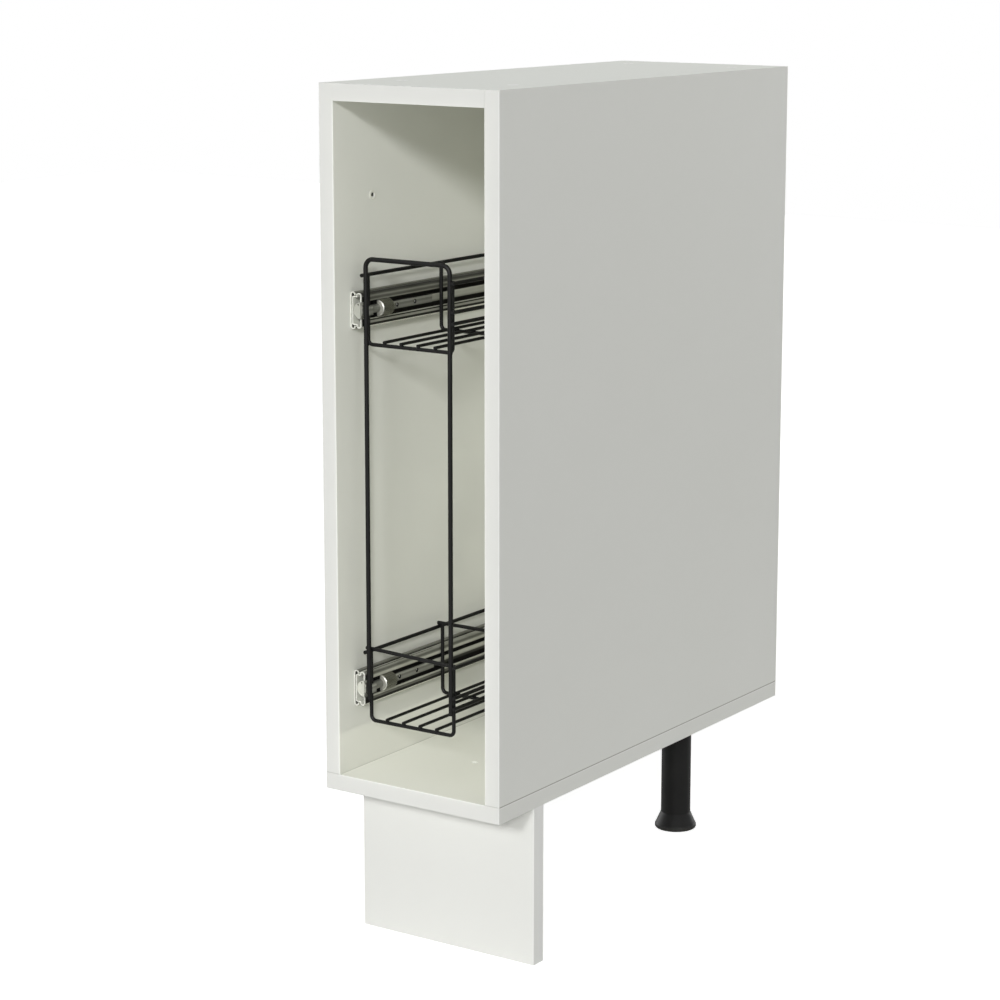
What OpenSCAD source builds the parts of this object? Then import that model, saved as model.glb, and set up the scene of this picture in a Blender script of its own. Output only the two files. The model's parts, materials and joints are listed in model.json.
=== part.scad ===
// Narrow kitchen base cabinet with a two-tier wire pull-out on ball-bearing slides.
// Frame: X to the right, Y to the back, Z up; origin on the floor under the centre of the carcass.
// Inside carcass_frame() sizes run from the left face, the front face and the underside of the carcass.

/* [Carcass] */
// Width over both sides
carcass_w = 200; // [195:5:300]
// Depth from the front edges to the rear edges
carcass_d = 525; // [520:5:600]
// Height from the underside of the bottom panel to the top of the sides
carcass_h = 670; // [600:10:760]
// Thickness of the coated boards
board_t = 16; // [15:0.5:18]
// Thickness of the edge bands on the front edges
edge_t = 1; // [0.6:0.1:1.5]
// Radius on the front corners of the edge bands
edge_r = 0.5; // [0.2:0.1:0.6]
// Thickness of the back panel
back_t = 3.2; // [3:0.1:5]
// Depth of the groove that holds the back panel
groove_depth = 6; // [4:0.5:8]
// Distance from the rear edges to the groove
groove_inset = 12; // [10:1:14]
// Diameter of the wooden dowels
dowel_d = 8; // [6:1:8]
// Length of the wooden dowels
dowel_l = 30; // [25:5:35]
// Depth of a dowel in the face of a board
dowel_in_face = 11; // [9:1:12]
// Distance of the outer dowels from the front and rear edges
dowel_inset = 60; // [50:5:90]

/* [Fixing holes] */
// Diameter of the worktop screw holes in the top panel
worktop_hole_d = 5; // [4:0.5:6]
// Distance of the worktop holes from the outer side faces
worktop_hole_side = 38; // [30:1:50]
// Distance of the front worktop holes from the front
worktop_hole_front = 77; // [50:1:100]
// Distance of the rear worktop holes from the rear edge
worktop_hole_rear = 50; // [40:1:80]
// Bore of the eyelet in the left side
eyelet_bore_d = 5; // [4:0.5:6]
// Wall of the eyelet's tube
eyelet_wall = 0.9; // [0.7:0.1:1.2]
// Depth of the eyelet in the board
eyelet_depth = 12; // [8:1:13]
// Distance of the eyelet from the front
eyelet_front = 59; // [45:1:70]
// Height of the eyelet above the underside of the carcass
eyelet_z = 564; // [540:2:570]

/* [Plinth and legs] */
// Height of the carcass above the floor
leg_h = 155; // [120:5:180]
// Distance of the plinth board from the front face
plinth_setback = 58; // [40:1:60]
// Thickness of the plinth board
plinth_t = 16; // [15:0.5:18]
// Distance of the front leg behind the plinth board
front_leg_gap = 30; // [30:1:40]
// Distance of the rear leg from the rear edges
rear_leg_inset = 38; // [35:1:60]
// Outer diameter of a leg tube
leg_tube_d = 32; // [28:1:34]
// Wall of a leg tube
leg_wall = 3; // [2:0.5:4]
// Diameter of a foot at the floor
foot_d = 45; // [40:1:50]
// Height of the rim of a foot
foot_rim_h = 4.5; // [3:0.5:6]
// Height of the flare above the rim
foot_flare_h = 13.5; // [8:0.5:18]
// Diameter of the adjusting screw of a foot
foot_screw_d = 20; // [14:1:22]
// Length of the adjusting screw above the foot
foot_screw_l = 46; // [36:2:60]
// Length of the nut in the lower end of a leg tube
foot_nut_l = 22; // [16:1:24]
// Diameter of a leg's mounting plate
plate_d = 58; // [54:1:58]
// Thickness of a leg's mounting plate
plate_t = 4; // [3:0.5:5]
// Height of the collar that holds a leg tube, with the plate
collar_h = 30; // [20:1:34]
// Wall of the collar
collar_wall = 3; // [2:0.5:3.5]
// Diameter of the access hole above each leg
access_hole_d = 6; // [5:0.5:8]
// Height of the plinth clip above the floor
clip_z = 80; // [60:5:90]
// Height of the plinth clip
clip_h = 18; // [12:1:24]
// Wall of the plinth clip
clip_wall = 2.6; // [2:0.1:3]

/* [Slides] */
// Length of a slide
slide_l = 450; // [400:50:450]
// Distance of the slides from the front face
slide_front = 24; // [20:1:30]
// Height of a slide's profile
slide_h = 35; // [35:0.5:37]
// Thickness of a closed slide with its strap
slide_t = 12.7; // [12.5:0.1:13.2]
// Height of the upper slide above the underside of the carcass
upper_slide_z = 459.5; // [440:0.5:470]
// Height of the lower slide above the underside of the carcass
lower_slide_z = 96.5; // [90:0.5:110]
// Thickness of the rolled steel of the members
sheet = 1; // [0.8:0.05:1.05]
// Diameter of the balls
ball_d = 3.2; // [3:0.05:3.25]
// Balls in one row of a cage
balls_per_row = 8; // [4:1:10]
// Distance between the balls in a row
ball_pitch = 27; // [16:1:27]
// Thickness of the ball cages
cage_t = 0.5; // [0.4:0.05:0.55]
// Height of the raised bar on the drawer member
bar_h = 7.5; // [6:0.5:8]
// Half height of the slot between the lips of the middle member
lip_end = 8.2; // [8.2:0.1:8.6]

/* [Hangers] */
// Distance from a slide's front end to the drawer member
member_setback = 46; // [44:1:60]
// Thickness of the strap on the drawer member
strap_t = 1.5; // [1.2:0.1:1.6]
// Length of the strap
strap_l = 66; // [56:1:76]
// Diameter of the holes in the strap
strap_hole_d = 4.3; // [3:0.1:5]
// Diameter of the stud
stud_d = 8; // [6:0.5:8]
// Diameter of the knurled nut
nut_d = 16; // [14:0.5:16]
// Length of the knurled nut
nut_l = 18; // [14:0.5:21.5]
// Grooves round the knurled nut
nut_grooves = 36; // [24:2:40]

/* [Wire pull-out] */
// Diameter of the portal frame's rod
rod_d = 4.4; // [4:0.1:5]
// Diameter of the basket wires
wire_d = 3.6; // [3:0.1:4]
// Diameter of the floor wires
floor_wire_d = 3; // [2.5:0.1:3.4]
// Width of a basket between the centres of its side wires
basket_w = 96.2; // [80:0.2:110]
// Length of a basket between the centres of its first and last hoop
basket_l = 466; // [430:2:466]
// Bays of a basket between its hoops
bays = 4; // [3:1:6]
// Floor wires in a basket
floor_wires = 4; // [3:1:6]
// Depth of a basket's bottom wires below the centre of its slide
basket_drop = 31.7; // [25:0.1:35]
// Height of the upper rails above the bottom wires
upper_rail_h = 64.5; // [58:0.5:75]
// Height of the lower rails above the bottom wires
lower_rail_h = 67; // [58:0.5:75]
// Height of the middle rail on the right above the bottom wires
mid_rail_h = 38; // [34:1:50]
// Height of the low rail on the right above the bottom wires
low_rail_h = 27.5; // [15:0.5:30]
// Drop of the lower basket's front cross wire towards the right
front_wire_drop = 3.4; // [2:0.1:3.5]
// Bend radius of the hoops
hoop_bend = 5; // [4:0.5:8]
// Bend radius of the portal frame
portal_bend = 8; // [6:0.5:12]
// Distance of the portal frame's plane from the front face
portal_y = 28; // [27:0.5:32]
// Height of the portal's top rod above the centre of the upper slide
portal_rise = 48.5; // [42:0.5:60]
// Depth of the portal's rod ends below the centre of the lower slide
portal_drop = 11; // [2:0.5:20]

/* [Hidden] */
$fn = 48;
// Small overlap that keeps cuts clean
eps = 0.01;
// Play of a loose fit between pieces that don't move
fit_play = 0.1;
// Radial play of a turning or screwed fit
run_play = 0.05;
// Sink of a resistance weld between two wires
weld = 0.05;

// Carcass places
inner_left = board_t;
inner_right = carcass_w - board_t;
inner_top = carcass_h - board_t;
groove_w = back_t + 2 * fit_play;
groove_y = carcass_d - groove_inset - groove_w;
dowel_in_edge = dowel_l - dowel_in_face + 1;
dowel_ys = [dowel_inset, carcass_d / 2, carcass_d - dowel_inset];

// Leg places
front_leg_y = plinth_setback + plinth_t + front_leg_gap;
rear_leg_y = carcass_d - rear_leg_inset;
leg_ys = [front_leg_y, rear_leg_y];
leg_screw_r = (plate_d + leg_tube_d + 2 * collar_wall) / 4;
leg_screw_d = 3.5;
leg_screw_l = 12;
foot_top = foot_rim_h + foot_flare_h;
tube_seat = plate_t;
clip_r = leg_tube_d / 2 + fit_play;
clip_plate_w = 40;
clip_screw_x = 14;

// Slide profile, measured from the wall and from the slide's centre line
race_play = 0.1;
race_r = ball_d / 2 + race_play;
hook_r = race_r + sheet;
side_play = 0.15;
cage_play = 0.22;
outer_race = [hook_r, slide_h / 2 - hook_r];
outer_cage_v = sheet + side_play;
middle_web_v = outer_cage_v + cage_t + 0.35;
lip_face_v = slide_t - 0.3;
inner_drop = 0.9;
inner_race = [lip_face_v - hook_r, slide_h / 2 - hook_r - inner_drop];
hook_end_angle = 12;
bridge_top = outer_race[1] - hook_r * sin(hook_end_angle) - 0.7;
bridge_low = bridge_top - sheet;
flange_top = outer_race[1] - hook_r - cage_t - 2 * cage_play;
flange_low = flange_top - sheet;
inner_cage_v = middle_web_v + sheet + cage_play;
drawer_web_v = inner_cage_v + cage_t + 1.2;
bar_face_v = slide_t - strap_t;
bar_half = bar_h / 2;

// Slide lengths
bumper_l = 6;
middle_l = slide_l - bumper_l - 2;
drawer_start = slide_front + member_setback;
drawer_l = slide_front + middle_l - drawer_start;
cage_l = balls_per_row * ball_pitch + 4;
cage_start = slide_front + slide_l / 2 - cage_l / 2;
slide_screw_first = 13;
slide_screw_pitch = 224;
slide_screw_last = 21;
slide_screw_ys = [slide_front + slide_screw_first, slide_front + slide_screw_first + slide_screw_pitch,
    slide_front + slide_l - slide_screw_last];
slide_screw_d = 3.9;
slide_screw_l = 12;

// Hanger places
nut_gap = 0.3;
hanger_x = board_t + middle_web_v + sheet + nut_gap + nut_d / 2;
flange_t = 1.5;
stud_flange_y = drawer_start - 0.2 - flange_t;
flange_half = 5.5;
saddle_half = 4.5;
saddle_wall = 0.8;
saddle_depth = 2.7;
strap_hole_first = 9.8;
strap_hole_pitch = 28.4;
strap_hole_ys = [drawer_start + strap_hole_first, drawer_start + strap_hole_first + strap_hole_pitch];
nut_y = stud_flange_y - nut_gap - nut_l;
mouth_plate_r = nut_d / 2 - 0.2;
mouth_plate_x = hanger_x - 0.2;
mouth_plate_t = 2;
mouth_plate_y = portal_y - 3.5;
mouth_hole_d = 2;
mouth_hole_r = 0.785 * mouth_plate_r;
mouth_hole_angle = 114;

// Wire places
wire_r = wire_d / 2;
rod_r = rod_d / 2;
lip_clear = 0.4;
wire_face = board_t + lip_face_v + lip_clear;
hoop_x = wire_face + wire_r;
rod_x = wire_face + rod_r;
// A hoop lies along the portal frame's rod, so the two sink into each other by half a weld
hoop_y = portal_y + sqrt(pow(rod_r + wire_r - weld / 2, 2) - pow(rod_r - wire_r, 2));
hoop_ys = [for (i = [0:bays]) hoop_y + i * basket_l / bays];
rail_gap = wire_d - weld;
left_rail_x = hoop_x - rail_gap;
right_rail_x = hoop_x + basket_w + rail_gap;
rail_y0 = portal_y - 1.5;
rail_y1 = hoop_y + basket_l + wire_r + 1;
upper_basket_z = upper_slide_z - basket_drop;
lower_basket_z = lower_slide_z - basket_drop;
rear_clip_y = hoop_ys[bays - 1];
clip_half = 9.5;
clip_wrap = 1.2;
clip_screw_out = 7;
clip_screw_d = 3;

module carcass_frame() {
    translate([-carcass_w / 2, -carcass_d / 2, leg_h]) children();
}

// A block given by its low and high corners
module block(low, high) {
    translate(low) cube(high - low);
}

// A straight bar along X, Y or Z
module bar_x(p, l, d) { translate(p) rotate([0, 90, 0]) cylinder(h = l, d = d); }
module bar_y(p, l, d) { translate(p) rotate([-90, 0, 0]) cylinder(h = l, d = d); }
module bar_z(p, l, d) { translate(p) cylinder(h = l, d = d); }

// Boards

module side_board() {
    difference() {
        block([0, edge_t, board_t], [board_t, carcass_d, carcass_h]);
        block([board_t - groove_depth, groove_y, board_t - eps],
            [board_t + eps, groove_y + groove_w, inner_top + groove_depth]);
        for (y = dowel_ys) {
            bar_x([board_t - dowel_in_face, y, carcass_h - board_t / 2], dowel_in_face + eps, dowel_d + fit_play);
            bar_z([board_t / 2, y, board_t - eps], dowel_in_edge, dowel_d + fit_play);
        }
    }
}

module left_side() {
    color([0.78, 0.79, 0.77]) carcass_frame() difference() {
        side_board();
        for (z = [upper_slide_z, lower_slide_z]) for (y = slide_screw_ys)
            bar_x([board_t - slide_screw_l - 0.2, y, z],
                slide_screw_l + 0.2 + eps, slide_screw_d + fit_play);
        bar_x([board_t - eyelet_depth - fit_play, eyelet_front, eyelet_z],
            eyelet_depth + 1, eyelet_bore_d + 2 * eyelet_wall + fit_play);
    }
}

module right_side() {
    color([0.78, 0.79, 0.77]) carcass_frame()
        translate([carcass_w, 0, 0]) mirror([1, 0, 0]) side_board();
}

module top_panel() {
    color([0.8, 0.81, 0.79]) carcass_frame() difference() {
        block([inner_left, edge_t, inner_top], [inner_right, carcass_d, carcass_h]);
        block([inner_left - 1, groove_y, inner_top - 1],
            [inner_right + 1, groove_y + groove_w, inner_top + groove_depth]);
        for (y = dowel_ys) {
            bar_x([inner_left - eps, y, carcass_h - board_t / 2], dowel_in_edge, dowel_d + fit_play);
            bar_x([inner_right - dowel_in_edge + eps, y, carcass_h - board_t / 2],
                dowel_in_edge, dowel_d + fit_play);
        }
        for (x = [worktop_hole_side, carcass_w - worktop_hole_side])
            for (y = [worktop_hole_front, carcass_d - worktop_hole_rear])
                bar_z([x, y, inner_top - 1], board_t + 2, worktop_hole_d);
    }
}

module bottom_panel() {
    color([0.8, 0.81, 0.79]) carcass_frame() difference() {
        block([0, edge_t, 0], [carcass_w, carcass_d, board_t]);
        block([board_t - groove_depth, groove_y, board_t - groove_depth],
            [carcass_w - board_t + groove_depth, groove_y + groove_w, board_t + 1]);
        for (x = [board_t / 2, carcass_w - board_t / 2]) for (y = dowel_ys)
            bar_z([x, y, board_t - dowel_in_face], dowel_in_face + 1, dowel_d + fit_play);
        for (y = leg_ys) {
            bar_z([carcass_w / 2, y, -1], board_t + 2, access_hole_d);
            leg_screw_places(y) bar_z([0, 0, -1], leg_screw_l - plate_t + 2, leg_screw_d);
        }
    }
}

module back_panel() {
    reach = groove_depth - fit_play;
    color([0.82, 0.82, 0.8]) carcass_frame()
        block([inner_left - reach, groove_y + fit_play, board_t - reach],
            [inner_right + reach, groove_y + fit_play + back_t, inner_top + reach]);
}

// Cross-section of an edge band: width w along X, front face at Y = 0
module band_profile(w) {
    difference() {
        square([w, edge_t]);
        for (x = [0, w - edge_r]) difference() {
            translate([x, 0]) square([edge_r, edge_r]);
            translate([x == 0 ? edge_r : x, edge_r]) circle(r = edge_r);
        }
    }
}

module front_edge_bands() {
    color([0.92, 0.92, 0.9]) carcass_frame() {
        for (x = [0, inner_right]) translate([x, 0, board_t])
            linear_extrude(carcass_h - board_t) band_profile(board_t);
        translate([inner_left, 0, carcass_h]) rotate([0, 90, 0])
            linear_extrude(inner_right - inner_left) band_profile(board_t);
        translate([0, 0, board_t]) rotate([0, 90, 0]) linear_extrude(carcass_w) band_profile(board_t);
    }
}

module dowels() {
    color([0.83, 0.7, 0.5]) carcass_frame() for (y = dowel_ys) {
        bar_x([inner_left - dowel_in_face + 0.5, y, carcass_h - board_t / 2], dowel_l, dowel_d);
        bar_x([inner_right + dowel_in_face - 0.5 - dowel_l, y, carcass_h - board_t / 2], dowel_l, dowel_d);
        for (x = [board_t / 2, carcass_w - board_t / 2])
            bar_z([x, y, board_t - dowel_in_face + 0.5], dowel_l, dowel_d);
    }
}

// Plastic eyelet with a thin rim in the inner face of the left side
module eyelet() {
    tube_d = eyelet_bore_d + 2 * eyelet_wall;
    color([0.85, 0.85, 0.82]) carcass_frame()
        translate([board_t, eyelet_front, eyelet_z]) rotate([0, 90, 0]) difference() {
            union() {
                translate([0, 0, -eyelet_depth]) cylinder(h = eyelet_depth + 0.3, d = tube_d);
                cylinder(h = 0.6, d = tube_d + 2);
            }
            translate([0, 0, -eyelet_depth + 1]) cylinder(h = eyelet_depth + 1, d = eyelet_bore_d);
        }
}

// Plinth and legs

module plinth_board() {
    color([0.9, 0.9, 0.88]) carcass_frame() difference() {
        block([0, plinth_setback, -leg_h], [carcass_w, plinth_setback + plinth_t, 0]);
        clip_screw_places() bar_y([0, -10, 0], 10 + eps, leg_screw_d - 0.5);
    }
}

// Screws of the plinth clip: origin on the back face of the plinth board
module clip_screw_places() {
    for (s = [-1, 1])
        translate([carcass_w / 2 + s * clip_screw_x, plinth_setback + plinth_t, clip_z - leg_h]) children();
}

module plinth_clip() {
    r_out = clip_r + clip_wall;
    plate_y = plinth_setback + plinth_t;
    color([0.13, 0.13, 0.13]) carcass_frame()
        translate([carcass_w / 2, front_leg_y, clip_z - leg_h]) difference() {
            union() {
                translate([0, 0, -clip_h / 2]) cylinder(h = clip_h, r = r_out);
                block([-clip_plate_w / 2, -front_leg_gap, -clip_h / 2],
                    [clip_plate_w / 2, -front_leg_gap + clip_wall, clip_h / 2]);
                for (s = [-1, 1]) translate([s * 6 - clip_wall / 2, -front_leg_gap + 1, -clip_h / 2])
                    cube([clip_wall, front_leg_gap - clip_r - 1 + clip_wall, clip_h]);
            }
            translate([0, 0, -clip_h]) cylinder(h = 2 * clip_h, r = clip_r);
            block([-clip_r * 0.75, 0, -clip_h], [clip_r * 0.75, r_out + 1, clip_h]);
            for (s = [-1, 1])
                bar_y([s * clip_screw_x, -front_leg_gap - 1, 0], clip_wall + 2, leg_screw_d + fit_play);
        }
}

module plinth_clip_screws() {
    color([0.7, 0.7, 0.7]) carcass_frame() clip_screw_places() {
        bar_y([0, -9.5, 0], 9.5 + clip_wall, leg_screw_d - 0.6);
        bar_y([0, clip_wall, 0], 1.6, 2 * leg_screw_d);
    }
}

// Four screws round a leg: origin on the underside of the carcass
module leg_screw_places(y) {
    for (a = [45:90:315])
        translate([carcass_w / 2 + leg_screw_r * cos(a), y + leg_screw_r * sin(a), 0]) children();
}

module leg_socket(y) {
    r_in = leg_tube_d / 2 + fit_play;
    color([0.12, 0.12, 0.12]) carcass_frame() difference() {
        union() {
            bar_z([carcass_w / 2, y, -plate_t], plate_t, plate_d);
            bar_z([carcass_w / 2, y, -collar_h], collar_h, 2 * (r_in + collar_wall));
            for (a = [0:90:270]) translate([carcass_w / 2, y, -plate_t - 10]) rotate([0, 0, a])
                translate([r_in, -1, 0]) cube([plate_d / 2 - r_in - 1, 2, 10 + eps]);
        }
        bar_z([carcass_w / 2, y, -collar_h - 1], collar_h - tube_seat + 1, 2 * r_in);
        bar_z([carcass_w / 2, y, -collar_h], collar_h + 1, access_hole_d);
        leg_screw_places(y) bar_z([0, 0, -collar_h], collar_h + 1, leg_screw_d + 2 * fit_play);
    }
}

module front_leg_socket() { leg_socket(front_leg_y); }
module rear_leg_socket() { leg_socket(rear_leg_y); }

module leg_screws() {
    color([0.7, 0.7, 0.7]) carcass_frame() for (y = leg_ys) leg_screw_places(y) {
        bar_z([0, 0, -plate_t], leg_screw_l, leg_screw_d - fit_play);
        bar_z([0, 0, -plate_t - 1.6], 1.6, 2 * leg_screw_d - 0.4);
    }
}

module leg_tube(y) {
    low = foot_top - leg_h;
    color([0.12, 0.12, 0.12]) carcass_frame() translate([carcass_w / 2, y, low]) difference() {
        cylinder(h = -low - tube_seat, d = leg_tube_d);
        translate([0, 0, foot_nut_l]) cylinder(h = leg_h, d = leg_tube_d - 2 * leg_wall);
        translate([0, 0, -1]) cylinder(h = leg_h, d = foot_screw_d + 2 * run_play);
    }
}

module front_leg_tube() { leg_tube(front_leg_y); }
module rear_leg_tube() { leg_tube(rear_leg_y); }

// Flared foot with its adjusting screw, screwed fully home
module foot(y) {
    chamfer = 1;
    low_r = 2;
    color([0.15, 0.15, 0.15]) carcass_frame() translate([carcass_w / 2, y, -leg_h]) {
        rotate_extrude() polygon([
            [0, 0],
            [foot_d / 2 - low_r, 0],
            [foot_d / 2 - low_r, low_r],
            [foot_d / 2, low_r],
            [foot_d / 2, foot_rim_h],
            [leg_tube_d / 2, foot_top],
            [foot_screw_d / 2, foot_top],
            [foot_screw_d / 2, foot_top + foot_screw_l - chamfer],
            [foot_screw_d / 2 - chamfer, foot_top + foot_screw_l],
            [0, foot_top + foot_screw_l],
        ]);
        rotate_extrude() intersection() {
            translate([foot_d / 2 - low_r, low_r]) circle(r = low_r);
            square([foot_d / 2, low_r]);
        }
    }
}

module front_foot() { foot(front_leg_y); }
module rear_foot() { foot(rear_leg_y); }

// Slides. A profile is drawn with the distance from the wall along X and the height along Y.

module along_slide(z, y, l) {
    carcass_frame() translate([board_t, y + l, z]) rotate([90, 0, 0]) linear_extrude(l) children();
}

module both_edges() {
    children();
    mirror([0, 1]) children();
}

// Part of a ring between two angles, as the wall of a ball race
module race_wall(centre, a0, a1) {
    steps = 6;
    reach = 2 * hook_r;
    translate(centre) intersection() {
        difference() {
            circle(r = hook_r);
            circle(r = race_r);
        }
        polygon(concat([[0, 0]],
            [for (i = [0:steps]) let (a = a0 + (a1 - a0) * i / steps) reach * [cos(a), sin(a)]]));
    }
}

module rect(low, high) {
    translate(low) square(high - low);
}

module cabinet_member_profile() {
    rect([0, -outer_race[1]], [sheet, outer_race[1]]);
    both_edges() race_wall(outer_race, -hook_end_angle, 180);
}

module middle_member_profile() {
    web_top = outer_race[1] - race_r - sheet / 2;
    rect([middle_web_v, -web_top], [middle_web_v + sheet, web_top]);
    both_edges() {
        race_wall(outer_race, 252, 322);
        rect([outer_race[0] + race_r, bridge_low], [inner_race[0] - race_r, bridge_top]);
        rect([inner_race[0] - hook_r, bridge_low], [inner_race[0] - race_r, inner_race[1] + eps]);
        race_wall(inner_race, 0, 180);
        rect([lip_face_v - sheet, lip_end], [lip_face_v, inner_race[1] + eps]);
    }
}

module drawer_member_profile() {
    toe = inner_race[0] + race_r - cage_t;
    both_edges() {
        race_wall(inner_race, 254, 300);
        rect([inner_race[0] - sheet / 2, flange_low], [toe, inner_race[1] - hook_r + 0.4]);
        rect([drawer_web_v, flange_low], [toe, flange_top]);
        rect([drawer_web_v, bar_half - sheet], [drawer_web_v + sheet, flange_top]);
        rect([drawer_web_v, bar_half - sheet], [bar_face_v, bar_half]);
    }
    rect([bar_face_v - sheet, -bar_half], [bar_face_v, bar_half]);
}

module outer_cage_profile() {
    rect([outer_cage_v, -outer_race[1] - 0.4], [outer_cage_v + cage_t, outer_race[1] + 0.4]);
}

module inner_cage_profile() {
    low = flange_top + cage_play;
    arm_v = inner_race[0] - race_r + cage_play;
    rect([inner_cage_v, -low - cage_t], [inner_cage_v + cage_t, low + cage_t]);
    both_edges() {
        rect([inner_cage_v, low], [arm_v + cage_t, low + cage_t]);
        rect([arm_v, low], [arm_v + cage_t, inner_race[1] + 0.5]);
    }
}

// Centres of the balls of one cage, from the wall and the slide's centre line
module ball_places(race) {
    for (s = [-1, 1]) for (i = [0:balls_per_row - 1])
        translate([board_t + race[0], cage_start + 2 + (i + 0.5) * ball_pitch, s * race[1]]) children();
}

module cabinet_member(z) {
    color([0.62, 0.62, 0.6]) difference() {
        along_slide(z, slide_front, slide_l) cabinet_member_profile();
        carcass_frame() for (y = slide_screw_ys) translate([board_t, y, z]) rotate([0, 90, 0])
            screw_head(fit_play / 2);
    }
}

// Flush head of a slide screw, through the web of the cabinet member
module screw_head(play) {
    translate([0, 0, -eps]) cylinder(h = sheet + 2 * eps, r1 = slide_screw_d / 2 + play,
        r2 = slide_screw_d / 2 + sheet + play);
}

module slide_screws(z) {
    color([0.72, 0.72, 0.7]) carcass_frame() for (y = slide_screw_ys)
        translate([board_t, y, z]) rotate([0, 90, 0]) {
            screw_head(0);
            translate([0, 0, -slide_screw_l]) cylinder(h = slide_screw_l, d = slide_screw_d);
        }
}

module rear_bumper(z) {
    y0 = slide_front + slide_l - bumper_l;
    color([0.1, 0.1, 0.1]) carcass_frame() {
        block([board_t + sheet, y0, z - lip_end], [board_t + bar_face_v, y0 + bumper_l, z + lip_end]);
        bar_y([board_t + bar_face_v / 2 + 1, y0 - 1, z], 1 + eps, 6);
    }
}

module outer_cage(z) {
    color([0.75, 0.74, 0.7]) difference() {
        along_slide(z, cage_start, cage_l) outer_cage_profile();
        carcass_frame() translate([0, 0, z]) ball_places(outer_race)
            rotate([0, 90, 0]) translate([0, 0, -ball_d]) cylinder(h = 2 * ball_d, d = ball_d - 0.5);
    }
}

module inner_cage(z) {
    color([0.75, 0.74, 0.7]) difference() {
        along_slide(z, cage_start, cage_l) inner_cage_profile();
        carcass_frame() translate([0, 0, z]) ball_places(inner_race)
            rotate([0, 90, 0]) translate([0, 0, -ball_d]) cylinder(h = 2 * ball_d, d = ball_d - 0.5);
    }
}

module balls(z, race) {
    color([0.8, 0.8, 0.8]) carcass_frame() translate([0, 0, z]) ball_places(race) sphere(d = ball_d);
}

module middle_member(z) {
    color([0.6, 0.6, 0.58]) along_slide(z, slide_front, middle_l) middle_member_profile();
}

module drawer_member(z) {
    color([0.7, 0.7, 0.66]) difference() {
        along_slide(z, drawer_start, drawer_l) drawer_member_profile();
        carcass_frame() {
            for (y = strap_hole_ys) bar_x([board_t + bar_face_v - sheet - 1, y, z], sheet + 2, strap_hole_d);
            for (s = [-1, 1]) bar_x([board_t + bar_face_v - sheet - 1, rear_clip_y + s * clip_screw_out, z],
                sheet + 2, clip_screw_d + fit_play);
        }
    }
}

// Half-round plate in the mouth of the middle member, straight towards the baskets
module mouth_plate(z) {
    difference() {
        intersection() {
            bar_y([mouth_plate_x, mouth_plate_y, z], mouth_plate_t, 2 * mouth_plate_r);
            block([board_t, mouth_plate_y - 1, z - nut_d],
                [mouth_plate_x, mouth_plate_y + mouth_plate_t + 1, z + nut_d]);
        }
        bar_y([mouth_plate_x + mouth_hole_r * cos(mouth_hole_angle), mouth_plate_y - 1,
            z + mouth_hole_r * sin(mouth_hole_angle)], mouth_plate_t + 2, mouth_hole_d);
    }
}

// Mouth plate, saddle on the first hoop, stud, flange and the strap on the drawer member, welded together
module hanger(z) {
    saddle_front = hoop_y - wire_r + 0.4;
    saddle_back = hoop_y + wire_r + saddle_depth;
    color([0.66, 0.66, 0.62]) carcass_frame() difference() {
        union() {
            mouth_plate(z);
            block([hanger_x - 2, mouth_plate_y + mouth_plate_t - 0.1, z - saddle_half],
                [wire_face - 0.6, saddle_front + 0.8, z + saddle_half]);
            block([hanger_x - 2, saddle_front, z - saddle_half],
                [hoop_x + wire_r + saddle_wall, saddle_back, z + saddle_half]);
            bar_y([hanger_x, saddle_back - 1, z], stud_flange_y - saddle_back + 1 + eps, stud_d);
            block([hanger_x - stud_d / 2 + 0.4, stud_flange_y, z - flange_half],
                [board_t + slide_t, stud_flange_y + flange_t, z + flange_half]);
            block([board_t + bar_face_v, stud_flange_y, z - bar_half],
                [board_t + slide_t, drawer_start + strap_l, z + bar_half]);
        }
        bar_z([hoop_x, hoop_y, z - saddle_half - 1], 2 * saddle_half + 2, wire_d + 2 * run_play);
        block([hoop_x - wire_r - run_play, hoop_y - wire_d, z - saddle_half - 1],
            [hoop_x + wire_r + run_play, hoop_y, z + saddle_half + 1]);
        for (y = strap_hole_ys) bar_x([board_t + bar_face_v - 1, y, z], strap_t + 2, strap_hole_d);
    }
}

module knurled_nut(z) {
    groove_r = 0.35;
    color([0.66, 0.66, 0.6]) carcass_frame() translate([hanger_x, nut_y, z]) rotate([-90, 0, 0])
        difference() {
            rotate_extrude() polygon([
                [stud_d / 2 + run_play, 0],
                [nut_d / 2 - 1, 0],
                [nut_d / 2, 1],
                [nut_d / 2, nut_l - 1],
                [nut_d / 2 - 1, nut_l],
                [stud_d / 2 + run_play, nut_l],
            ]);
            for (i = [0:nut_grooves - 1]) rotate([0, 0, i * 360 / nut_grooves])
                translate([nut_d / 2, 0, -1]) cylinder(h = nut_l + 2, r = groove_r);
        }
}

// Saddle that holds a rear hoop against the drawer member
module rear_clip(z) {
    color([0.66, 0.66, 0.62]) carcass_frame() difference() {
        union() {
            block([board_t + bar_face_v, rear_clip_y - clip_half, z - bar_half],
                [board_t + slide_t, rear_clip_y + clip_half, z + bar_half]);
            block([board_t + bar_face_v, rear_clip_y - wire_r - clip_wrap, z - bar_half],
                [hoop_x + wire_r + 1, rear_clip_y + wire_r + clip_wrap, z + bar_half]);
        }
        bar_z([hoop_x, rear_clip_y, z - 10], 20, wire_d + 2 * run_play);
        for (s = [-1, 1])
            bar_x([board_t + bar_face_v - 1, rear_clip_y + s * clip_screw_out, z],
                strap_t + 2, clip_screw_d + fit_play);
    }
}

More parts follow.
